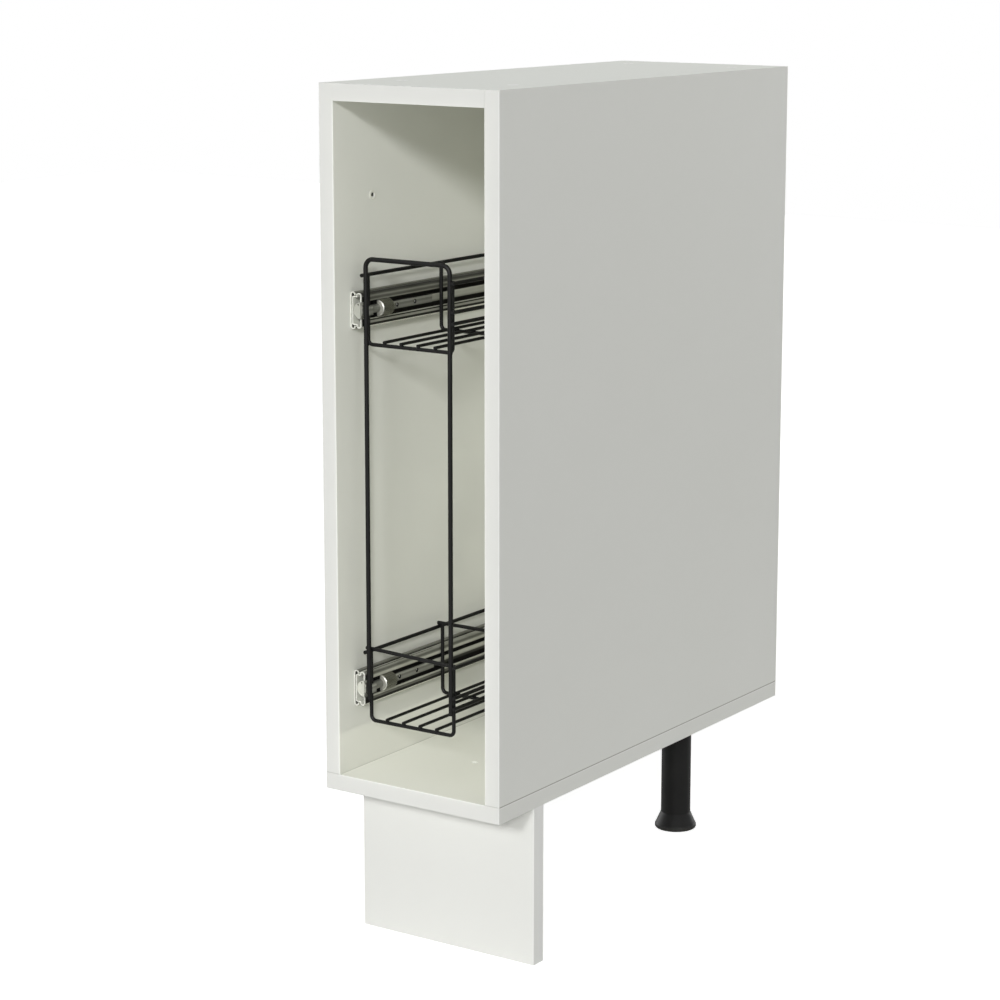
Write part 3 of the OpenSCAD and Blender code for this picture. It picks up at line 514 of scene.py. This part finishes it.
def pressed_zinc():
    """Zinc-plated hangers and clips with painted light: a painted highlight on the mouth plate, a duller stud,
    painted highlight and shade bands across the strap, both lighter on the lower slide, and painted shade in the
    strap's holes.
    """
    f = Finish("pressed_zinc")
    out, back, up, upper = slide_place(f)
    nx, _, _ = f.facing()
    cloud = f.noise(5, 3)
    # Painted highlight on the mouth plate, weaker on the upper slide.
    plate = (back < MOUTH_PLATE_BACK) * (out < STRAP_OUT)
    side = out - STUD_OUT
    stud = (back > MOUTH_PLATE_BACK) * (back < STUD_END_BACK) * (side * side + up * up < STUD_REACH ** 2)
    in_strap = (out > STRAP_REAR_OUT) * (back > STRAP_HOLES_FROM) * (back < STRAP_HOLES_TO)
    # Painted shade in the strap's holes.
    hole = (abs(nx) < 0.5) * in_strap * (abs(up) < STRAP_HOLE_UP)
    # Painted highlight and shade bands across the strap, lighter on the lower slide.
    strap = f.profile(up, (-3.7, 0.2), (-2.6, 0.3), (-1, 0.32), (0.3, 0.22), (1.6, 0.24), (2.2, 0.44), (3.3, 0.42),
                      (3.8, 0.25))
    strap = strap * (1.3 - 0.3 * upper)
    level = strap + (0.26 - strap) * stud
    level = (level + (0.8 - 0.25 * upper - level) * plate) * (1 - hole)
    bright = f.blend(cloud, (0.72, 0.73, 0.66), (0.86, 0.87, 0.79))
    colour = f.blend(level, (0.012, 0.012, 0.010), bright)
    return f.surface(colour, 0.32 + 0.14 * cloud, [(f.noise(0.5), 0.006)], Metallic=0.4 - 0.3 * plate)


def screw_zinc():
    """Bright zinc on screws, darker in soft random patches."""
    f = Finish("screw_zinc")
    cloud = f.noise(1.8, 3)
    colour = f.blend(cloud, (0.60, 0.60, 0.57), (0.75, 0.75, 0.72))
    return f.surface(colour, 0.22 + 0.15 * cloud, [(f.noise(0.4), 0.006)], Metallic=1.0)


def knurled_zinc():
    """Zinc with crossed knurling on the barrel, its grooves painted shade and its crests painted highlight, and
    smooth ends, the rim of each end a painted highlight brighter than its face.
    """
    f = Finish("knurled_zinc")
    x, y, z = f.axes((NUT_LOW + NUT_HIGH) / 2)
    z = z - (z > SLIDE_STEP / 2) * SLIDE_STEP
    turn = z.math("ARCTAN2", z, x) / (2 * math.pi)
    radius = (x * x + z * z).root()
    barrel = (radius > NUT_ACROSS - KNURL_DEPTH) * (abs(y) < NUT_ALONG - NUT_SHOULDER)
    flat = radius < NUT_ACROSS - NUT_RIM
    crossed = (turn * KNURLS + y / KNURL_PITCH).wave() * (turn * KNURLS - y / KNURL_PITCH).wave()
    cloud = f.noise(4, 3)
    face = f.blend(cloud, (0.34, 0.34, 0.30), (0.42, 0.42, 0.37))
    # A painted highlight on each end's rim, brighter than the face.
    turned = f.blend(flat, (0.74, 0.74, 0.68), face)
    # Painted shade in the knurls' grooves and painted highlight on their crests.
    knurled = f.blend(crossed, (0.06, 0.06, 0.045), (0.90, 0.90, 0.78))
    return f.surface(f.blend(barrel, turned, knurled), 0.3 + 0.12 * cloud + 0.15 * flat,
                     [(barrel * crossed, 0.3), (f.noise(0.5), 0.006)], Metallic=0.9 - 0.6 * flat)


def powder_coat():
    """Black powder coat with the fine orange peel that it dries with."""
    f = Finish("powder_coat")
    colour = f.blend(f.noise(12, 2), (0.0042, 0.0042, 0.0042), (0.006, 0.006, 0.0058))
    return f.surface(colour, 0.42 + 0.12 * f.noise(2), [(f.noise(0.8, 2), 0.03)], Specular_IOR_Level=0.25)


FINISHES = {
    "white_board": melamine_board(),
    "white_edge": edge_band(),
    "white_plinth": plinth_foil(),
    "back_board": hardboard(),
    "dowel_wood": beech(),
    "eyelet_plastic": pale_plastic(),
    "black_plastic": moulded_black(),
    "foot_plastic": polished_black(),
    "bumper_plastic": soft_black(),
    "slide_steel": rolled_zinc(),
    "cage_steel": cage_strip(),
    "ball_steel": bearing_steel(),
    "hanger_steel": pressed_zinc(),
    "nut_metal": knurled_zinc(),
    "screw_zinc": screw_zinc(),
    "black_wire": powder_coat(),
}
for subpart in frame["record"]["subparts"]:
    for material_slot in frame["nodes"][subpart["node"]].material_slots:
        material_slot.material = FINISHES[subpart["material_slot"]]


# Sizes of the pieces

# Faces that meet at less than SMOOTH_ANGLE degrees look round, and points nearer than SAME_POINT are one.
SMOOTH_ANGLE = 32
SAME_POINT = 0.001

# Steps round a foot, its thread, a screw head and the half turn of a lock plate.
TURN_STEPS = 64
THREAD_STEPS = 48
HEAD_STEPS = 20
PLATE_STEPS = 32

# A wire whose box is this many times its thickness both wide and high is a bent one.
BENT = 3

# A weld bead is a small flattened ball. A touch longer than BEAD_SPOT gets three long beads, two near its ends.
LEAST_TOUCH = 0.01
BEAD_SPOT = 6
BEAD_END = 9
BEAD_RADIUS = (1.55, 1.85)
BEAD_FLAT = 0.8
BEAD_LONG = (3, 4)
BEAD_ROUGH = (0.94, 1.06)

# A screw head, in shares of its radius: half the square that the cross is cut in, an arm's reach and half its width,
# the cross's depth in the middle and in an arm, and the two rings round the square. CROSS_TAPER is the width of the
# cross's floor to that of its mouth.
CROSS_SQUARE = 0.62
CROSS_ARM = 0.54
CROSS_SLOT = 0.13
CROSS_DEPTH = 0.65
CROSS_ARM_DEPTH = 0.275
CROSS_TAPER = 0.8
HEAD_COLLAR = 0.9
HEAD_EDGE = 0.97

# The dome and its rounded edge, in shares of the head's height, and the share of the dome's fall inside HEAD_EDGE.
DOME = 0.4
DOME_EDGE = 0.15
DOME_INSIDE = 0.95

# A screw's point: its length, and its end's share of the shank's radius.
POINT_LENGTH = 1.5
POINT_SHARE = 0.4

# The thread on a foot: a groove, a land and the two flanks between them make its pitch. It starts THREAD_SUNK deep
# in the foot, whose top lies on THREAD_START, and ends THREAD_SHORT under the screw's top.
THREAD_GROOVE = 0.9
THREAD_FLANK = 0.5
THREAD_LAND = 1.1
THREAD_PITCH = THREAD_GROOVE + THREAD_LAND + 2 * THREAD_FLANK
THREAD_ROOT = 8.8
THREAD_CREST = 9.95
THREAD_START = 18.0
THREAD_SUNK = 1
THREAD_SHORT = 0.05

# A foot: the arc round its sole, its rim's height, its top's radius, and the width and height of two bevels.
SOLE_ROUND = 2
FOOT_RIM = 4.5
FOOT_TOP = 15.8
RIM_BEVEL = (0.4, 0.5)
TOP_BEVEL = (0.5, 0.6)

# A lock plate: its gap to the nut, its thickness and its two radii.
PLATE_GAP = 0.2
PLATE_THICKNESS = 0.9
PLATE_BORE = 4.1
PLATE_EDGE = 7.9


# Pieces


def piece(name, bm, slot, body, replaced=()):
    """Turns a bmesh in metres into a finished piece that rides on a body and may stand for CAD nodes."""
    bmesh.ops.recalc_face_normals(bm, faces=bm.faces)
    for face in bm.faces:
        face.smooth = True
    mesh = bpy.data.meshes.new(name)
    bm.to_mesh(mesh)
    bm.free()
    mesh.set_sharp_from_angle(angle=math.radians(SMOOTH_ANGLE))
    mesh.materials.append(FINISHES[slot])
    made = bpy.data.objects.new(name, mesh)
    bpy.context.scene.collection.objects.link(made)
    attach(made, body)
    if replaced:
        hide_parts(*replaced)
    return made


def solids(node):
    """The boxes of a CAD node's separate solids, as (low corner, high corner) in millimetres."""
    bm = bmesh.new()
    bm.from_mesh(frame["nodes"][node].data)
    bmesh.ops.remove_doubles(bm, verts=bm.verts, dist=SAME_POINT * MM)
    left = set(bm.verts)
    boxes = []
    while left:
        front = [left.pop()]
        found = []
        while front:
            vert = front.pop()
            found.append(vert.co / MM)
            for edge in vert.link_edges:
                other = edge.other_vert(vert)
                if other in left:
                    left.remove(other)
                    front.append(other)
        boxes.append(tuple(Vector(pick(c[i] for c in found) for i in range(3)) for pick in (min, max)))
    bm.free()
    return sorted(boxes, key=lambda box: tuple(round(c, 2) for c in box[0]))


def stretches(node):
    """The straight stretches of a node's wires as boxes: a bent wire gives its two uprights and its bar."""
    found = []
    for low, high in solids(node):
        thick = min(high - low)
        if min(high.x - low.x, high.z - low.z) < BENT * thick:
            found.append((low, high))
            continue
        found.append((low, Vector((low.x + thick, high.y, high.z))))
        found.append((Vector((high.x - thick, low.y, low.z)), high))
        if node == "portal_frame":
            found.append((Vector((low.x, low.y, high.z - thick)), high))
        else:
            found.append((low, Vector((high.x, high.y, low.z + thick))))
    return found


def weld_beads(name, pairs):
    """Small beads of metal where wires of two nodes are welded together, flattened between them."""
    bm = bmesh.new()
    chance = random.Random(name)
    for first, second in pairs:
        for low_a, high_a in stretches(first):
            for low_b, high_b in stretches(second):
                low = Vector(map(max, low_a, low_b))
                high = Vector(map(min, high_a, high_b))
                if min(high - low) < LEAST_TOUCH:
                    continue
                centre = (low + high) / 2
                flat = min(range(3), key=lambda i: high[i] - low[i])
                along = max(range(3), key=lambda i: high[i] - low[i])
                long = high[along] - low[along] > BEAD_SPOT
                places = [centre[along]]
                if long:
                    places = [low[along] + BEAD_END, centre[along], high[along] - BEAD_END]
                for place in places:
                    centre[along] = place
                    size = [chance.uniform(*BEAD_RADIUS) for _ in range(3)]
                    size[flat] = BEAD_FLAT
                    if long:
                        size[along] = chance.uniform(*BEAD_LONG)
                    made = bmesh.ops.create_icosphere(bm, subdivisions=2, radius=MM)["verts"]
                    for vert in made:
                        vert.co *= chance.uniform(*BEAD_ROUGH)
                    bmesh.ops.scale(bm, vec=size, verts=made)
                    bmesh.ops.translate(bm, vec=centre * MM, verts=made)
    return piece(name, bm, "black_wire", "pullout")


def ring(bm, edges, scale, rise):
    """Extrudes an open loop, scaled round the Z axis and moved along it, in millimetres; gives the new loop."""
    grown = bmesh.ops.extrude_edge_only(bm, edges=edges)["geom"]
    verts = {item for item in grown if isinstance(item, bmesh.types.BMVert)}
    bmesh.ops.scale(bm, vec=(scale, scale, 1), verts=list(verts))
    bmesh.ops.translate(bm, vec=(0, 0, rise * MM), verts=list(verts))
    return [item for item in grown if isinstance(item, bmesh.types.BMEdge) and set(item.verts) <= verts]


def screw(head_r, head_h, shank_r, length, sunk):
    """A cross-recess screw in metres, its head's top at the origin facing +Z."""
    bm = bmesh.new()
    bmesh.ops.create_grid(bm, x_segments=5, y_segments=5, size=1)
    shares = (-CROSS_SQUARE, -CROSS_ARM, -CROSS_SLOT, CROSS_SLOT, CROSS_ARM, CROSS_SQUARE)
    dome = 0 if sunk else DOME * head_h
    for vert in bm.verts:
        x, y = (shares[round((c + 1) / 2 * (len(shares) - 1))] for c in vert.co.xy)
        vert.co = Vector((x * head_r, y * head_r, -dome * (x * x + y * y))) * MM
    rim = [edge for edge in bm.edges if edge.is_boundary]
    arms = []
    for face in bm.faces:
        aside, along = sorted(abs(c) / (head_r * MM) for c in face.calc_center_median().xy)
        if aside < CROSS_SLOT and along < CROSS_ARM:
            arms.append(face)
    cut = bmesh.ops.extrude_face_region(bm, geom=arms)["geom"]
    floor = [item for item in cut if isinstance(item, bmesh.types.BMVert)]
    bmesh.ops.delete(bm, geom=arms, context="FACES")
    for vert in floor:
        middle = max(abs(vert.co.x), abs(vert.co.y)) < (CROSS_SLOT + CROSS_ARM) / 2 * head_r * MM
        vert.co.z = -head_r * MM * (CROSS_DEPTH if middle else CROSS_ARM_DEPTH)
    bmesh.ops.scale(bm, vec=(CROSS_TAPER, CROSS_TAPER, 1), verts=floor)

    outer = bmesh.ops.create_circle(bm, segments=HEAD_STEPS, radius=HEAD_COLLAR * head_r * MM)["verts"]
    bmesh.ops.translate(bm, vec=(0, 0, -dome * HEAD_COLLAR ** 2 * MM), verts=outer)
    loop = [edge for edge in bm.edges if edge.verts[0] in outer and edge.verts[1] in outer]
    bmesh.ops.bridge_loops(bm, edges=rim + loop)
    if sunk:
        loop = ring(bm, loop, 1 / HEAD_COLLAR, 0)
        loop = ring(bm, loop, shank_r / head_r, -head_h)
    else:
        edge_top = -DOME_INSIDE * dome
        edge_foot = edge_top - DOME_EDGE * head_h
        loop = ring(bm, loop, HEAD_EDGE / HEAD_COLLAR, edge_top + dome * HEAD_COLLAR ** 2)
        loop = ring(bm, loop, 1 / HEAD_EDGE, edge_foot - edge_top)
        loop = ring(bm, loop, 1, -head_h - edge_foot)
        loop = ring(bm, loop, shank_r / head_r, 0)
    loop = ring(bm, loop, 1, -(length - head_h - POINT_LENGTH))
    loop = ring(bm, loop, POINT_SHARE, -POINT_LENGTH)
    bmesh.ops.holes_fill(bm, edges=loop, sides=0)
    bmesh.ops.remove_doubles(bm, verts=bm.verts, dist=SAME_POINT * MM)
    return bm


def screw_set(node, body, facing, head_r, head_h, shank_r, sunk=False):
    """Cross-recess screws in the place of a node's plain ones, each turned as it came to rest."""
    bm = bmesh.new()
    chance = random.Random(node)
    facing = Vector(facing)
    axis = max(range(3), key=lambda i: abs(facing[i]))
    for low, high in solids(node):
        top = (low + high) / 2
        top[axis] = high[axis] if facing[axis] > 0 else low[axis]
        made = screw(head_r, head_h, shank_r, high[axis] - low[axis], sunk)
        place = Matrix.LocRotScale(top * MM, facing.to_track_quat("Z", "Y"), None)
        made.transform(place @ Matrix.Rotation(chance.uniform(0, math.pi / 2), 4, "Z"))
        mesh = bpy.data.meshes.new(node)
        made.to_mesh(mesh)
        made.free()
        bm.from_mesh(mesh)
        bpy.data.meshes.remove(mesh)
    return piece(node + "_crossed", bm, "screw_zinc", body, [node])


def revolve(bm, profile, place, steps=TURN_STEPS, rise=0.0):
    """Spins (radius, height) points in millimetres once round an upright axis; with a rise they make a helix."""
    verts = [bm.verts.new((place + Vector((radius, 0, height))) * MM) for radius, height in profile]
    edges = [bm.edges.new(pair) for pair in zip(verts, verts[1:])]
    bmesh.ops.spin(bm, geom=verts + edges, cent=place * MM, axis=(0, 0, 1), dvec=(0, 0, rise * MM / steps),
                   angle=2 * math.pi, steps=steps, use_merge=not rise)
    bmesh.ops.remove_doubles(bm, verts=bm.verts, dist=SAME_POINT * MM)


def threaded_foot(side):
    """A foot with a coarse thread on its adjusting screw, in the place of the plain one."""
    low, high = (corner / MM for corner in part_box(side + "_foot"))
    place = Vector(((low.x + high.x) / 2, (low.y + high.y) / 2, low.z))
    radius = (high.x - low.x) / 2
    height = high.z - low.z

    bm = bmesh.new()
    profile = []
    for tooth in range(-2, round((height - THREAD_START) / THREAD_PITCH) + 1):
        base = THREAD_START + tooth * THREAD_PITCH
        crest = base + THREAD_GROOVE + THREAD_FLANK
        profile += [(THREAD_ROOT, base), (THREAD_ROOT, base + THREAD_GROOVE)]
        profile += [(THREAD_CREST, crest), (THREAD_CREST, crest + THREAD_LAND)]
    revolve(bm, profile, place, THREAD_STEPS, THREAD_PITCH)
    for end, up in ((THREAD_START - THREAD_SUNK, -1), (height - THREAD_SHORT, 1)):
        everything = bm.verts[:] + bm.edges[:] + bm.faces[:]
        level = (place + Vector((0, 0, end))) * MM
        cut = bmesh.ops.bisect_plane(bm, geom=everything, plane_co=level, plane_no=(0, 0, up), clear_outer=True)
        rim = [item for item in cut["geom_cut"] if isinstance(item, bmesh.types.BMEdge)]
        bmesh.ops.holes_fill(bm, edges=rim, sides=0)

    turns = [math.radians(degrees) for degrees in (0, 30, 60, 90)]
    sole = [(radius - SOLE_ROUND * (1 - math.sin(turn)), SOLE_ROUND * (1 - math.cos(turn))) for turn in turns]
    rim = [(radius, FOOT_RIM - RIM_BEVEL[1]), (radius - RIM_BEVEL[0], FOOT_RIM)]
    top = [(FOOT_TOP + TOP_BEVEL[0], THREAD_START - TOP_BEVEL[1]), (FOOT_TOP, THREAD_START), (0, THREAD_START)]
    revolve(bm, [(0, 0)] + sole + rim + top, place)
    return piece(side + "_threaded_foot", bm, "foot_plastic", side + "_foot", [side + "_foot"])


def lock_plate(side):
    """A thin black half-round plate against the nut's front face, on the wall's side of the stud."""
    low, high = (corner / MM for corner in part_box(side + "_knurled_nut"))
    centre = Vector(((low.x + high.x) / 2, low.y - PLATE_GAP, (low.z + high.z) / 2))
    bm = bmesh.new()
    corners = [(PLATE_BORE, 0), (PLATE_EDGE, 0), (PLATE_EDGE, -PLATE_THICKNESS), (PLATE_BORE, -PLATE_THICKNESS)]
    verts = [bm.verts.new((centre + Vector((0, along, radius))) * MM) for radius, along in corners]
    face = bm.faces.new(verts)
    bmesh.ops.spin(bm, geom=[face], cent=centre * MM, axis=(0, 1, 0), angle=-math.pi, steps=PLATE_STEPS)
    return piece(side + "_lock_plate", bm, "black_wire", "pullout")


weld_beads("upper_weld_beads", [("upper_hoops", "upper_rails"), ("upper_hoops", "upper_floor_wires"),
                                ("portal_frame", "upper_rails"), ("portal_frame", "upper_hoops"),
                                ("upper_rear_wires", "upper_rails")])
weld_beads("lower_weld_beads", [("lower_hoops", "lower_rails"), ("lower_hoops", "lower_floor_wires"),
                                ("portal_frame", "lower_rails"), ("portal_frame", "lower_hoops"),
                                ("lower_cross_wires", "lower_rails")])
screw_set("plinth_clip_screws", "cabinet", (0, 1, 0), head_r=3.5, head_h=1.6, shank_r=1.45)
screw_set("leg_screws", "cabinet", (0, 0, -1), head_r=3.3, head_h=1.6, shank_r=1.7)
for side in SIDES:
    screw_set(side + "_slide_screws", "cabinet", (1, 0, 0), head_r=2.95, head_h=1.0, shank_r=1.95, sunk=True)
    screw_set(side + "_clip_screws", "pullout", (1, 0, 0), head_r=2.4, head_h=1.4, shank_r=1.5)
    lock_plate(side)
for side in ("front", "rear"):
    threaded_foot(side)


# Studio

WORLD_LEVEL = 0.12
CARD_COLOUR = (1, 1, 0.84)
FLOOR_SIZE = 12000
FLOOR_GLOW = 0.75


def softbox(name, azimuth, elevation, softness, power):
    """A distant soft light: azimuth from the front towards the right, elevation and size in degrees, in W/m2."""
    light = bpy.data.lights.new(name, "SUN")
    light.angle = math.radians(softness)
    light.energy = power
    made = bpy.data.objects.new(name, light)
    azimuth, elevation = math.radians(azimuth), math.radians(elevation)
    place = Vector((math.sin(azimuth), -math.cos(azimuth), math.tan(elevation)))
    made.matrix_world = Matrix.LocRotScale(place, (-place).to_track_quat("-Z", "Y"), None)
    bpy.context.scene.collection.objects.link(made)


def inside_card(name, place, facing, size, power):
    """A pale card that lights only the inside and that the camera doesn't see, in millimetres and watts."""
    light = bpy.data.lights.new(name, "AREA")
    light.shape = "RECTANGLE"
    light.size, light.size_y = (side * MM for side in size)
    light.energy = power
    light.color = CARD_COLOUR
    made = bpy.data.objects.new(name, light)
    made.matrix_world = Matrix.LocRotScale(Vector(place) * MM, Vector(facing).to_track_quat("-Z", "Y"), None)
    made.visible_camera = False
    made.visible_glossy = False
    bpy.context.scene.collection.objects.link(made)


def studio():
    """A white world and floor for what the camera and the metal see, and a plain level of light on the cabinet."""
    world = bpy.data.worlds.new("studio")
    bpy.context.scene.world = world
    sky = Nodes(world)
    by_camera, by_gloss, by_glass = (sky.node("LightPath", {}, {}, "Is %s Ray" % kind)
                                     for kind in ("Camera", "Glossy", "Transmission"))
    seen = by_camera + by_gloss + by_glass
    strength = sky.node("MapRange", {}, {"Value": seen, "To Min": WORLD_LEVEL, "To Max": 1.0})
    background = sky.node("Background", {}, {"Color": (1, 1, 1, 1), "Strength": strength})
    sky.node("OutputWorld", {}, {"Surface": background})

    bm = bmesh.new()
    bmesh.ops.create_grid(bm, x_segments=1, y_segments=1, size=FLOOR_SIZE * MM / 2)
    mesh = bpy.data.meshes.new("floor")
    bm.to_mesh(mesh)
    bm.free()
    f = Finish("pale_floor")
    path = f.node("LightPath", {}, {}, "Is Camera Ray")
    glow = f.node("Emission", {}, {"Color": (1, 1, 1, 1), "Strength": path * FLOOR_GLOW})
    matt = f.node("BsdfDiffuse", {}, {"Color": (0.85, 0.85, 0.84, 1)})
    f.node("OutputMaterial", {}, {"Surface": f.node("AddShader", {}, {0: glow, 1: matt})})
    mesh.materials.append(f.material)
    floor = bpy.data.objects.new("floor", mesh)
    bpy.context.scene.collection.objects.link(floor)


studio()
softbox("key", 13, 23.4, 9, 1.15)
softbox("second", 32, 20.5, 8, 1.04)
softbox("left_fill", 268, 6, 30, 1.5)
softbox("rear_fill", 182, 8, 30, 0.9)
softbox("right_fill", 95, 8, 30, 0.16)
softbox("top_fill", 60, 72, 30, 0.21)
inside_card("mouth_card", (0, -267, 490), (0, 1, 0), (166, 634), 0.083)
inside_card("rear_card", (83, 92, 440), (-1, 0, 0), (340, 530), 0.146)
inside_card("low_card", (83, 0, 300), (-1, 0, 0), (500, 250), 0.052)
inside_card("floor_card", (0, -165, 212), (0, 0, -1), (164, 230), 0.032)
inside_card("high_card", (60, -60, 662), (-1, 0, 0), (230, 44), 0.018)


# Camera

CAMERA_PLACE = (1465.836, -2255.994, 966.312)
YAW, PITCH, ROLL = -33.339, -10.892, 0.226
SENSOR_WIDTH = 36
FOCAL_LENGTH = 99.061
SHIFT = (-0.05, -0.045)


def camera():
    """The photograph's camera, solved from the cabinet's edges."""
    yaw, pitch, roll = (math.radians(a) for a in (YAW, PITCH, ROLL))
    ahead = Vector((math.sin(yaw) * math.cos(pitch), math.cos(yaw) * math.cos(pitch), math.sin(pitch)))
    level = ahead.cross(Vector((0, 0, 1))).normalized()
    upright = level.cross(ahead)
    right = math.cos(roll) * level + math.sin(roll) * upright
    up = math.cos(roll) * upright - math.sin(roll) * level
    lens = bpy.data.cameras.new("camera")
    lens.sensor_width = SENSOR_WIDTH
    lens.lens = FOCAL_LENGTH
    lens.shift_x, lens.shift_y = SHIFT
    lens.clip_start, lens.clip_end = 0.1, 50
    made = bpy.data.objects.new("camera", lens)
    turn = Matrix((right, up, -ahead)).transposed()
    made.matrix_world = Matrix.Translation(Vector(CAMERA_PLACE) * MM) @ turn.to_4x4()
    bpy.context.scene.collection.objects.link(made)
    bpy.context.scene.camera = made


camera()
bpy.context.scene.view_settings.view_transform = "Standard"
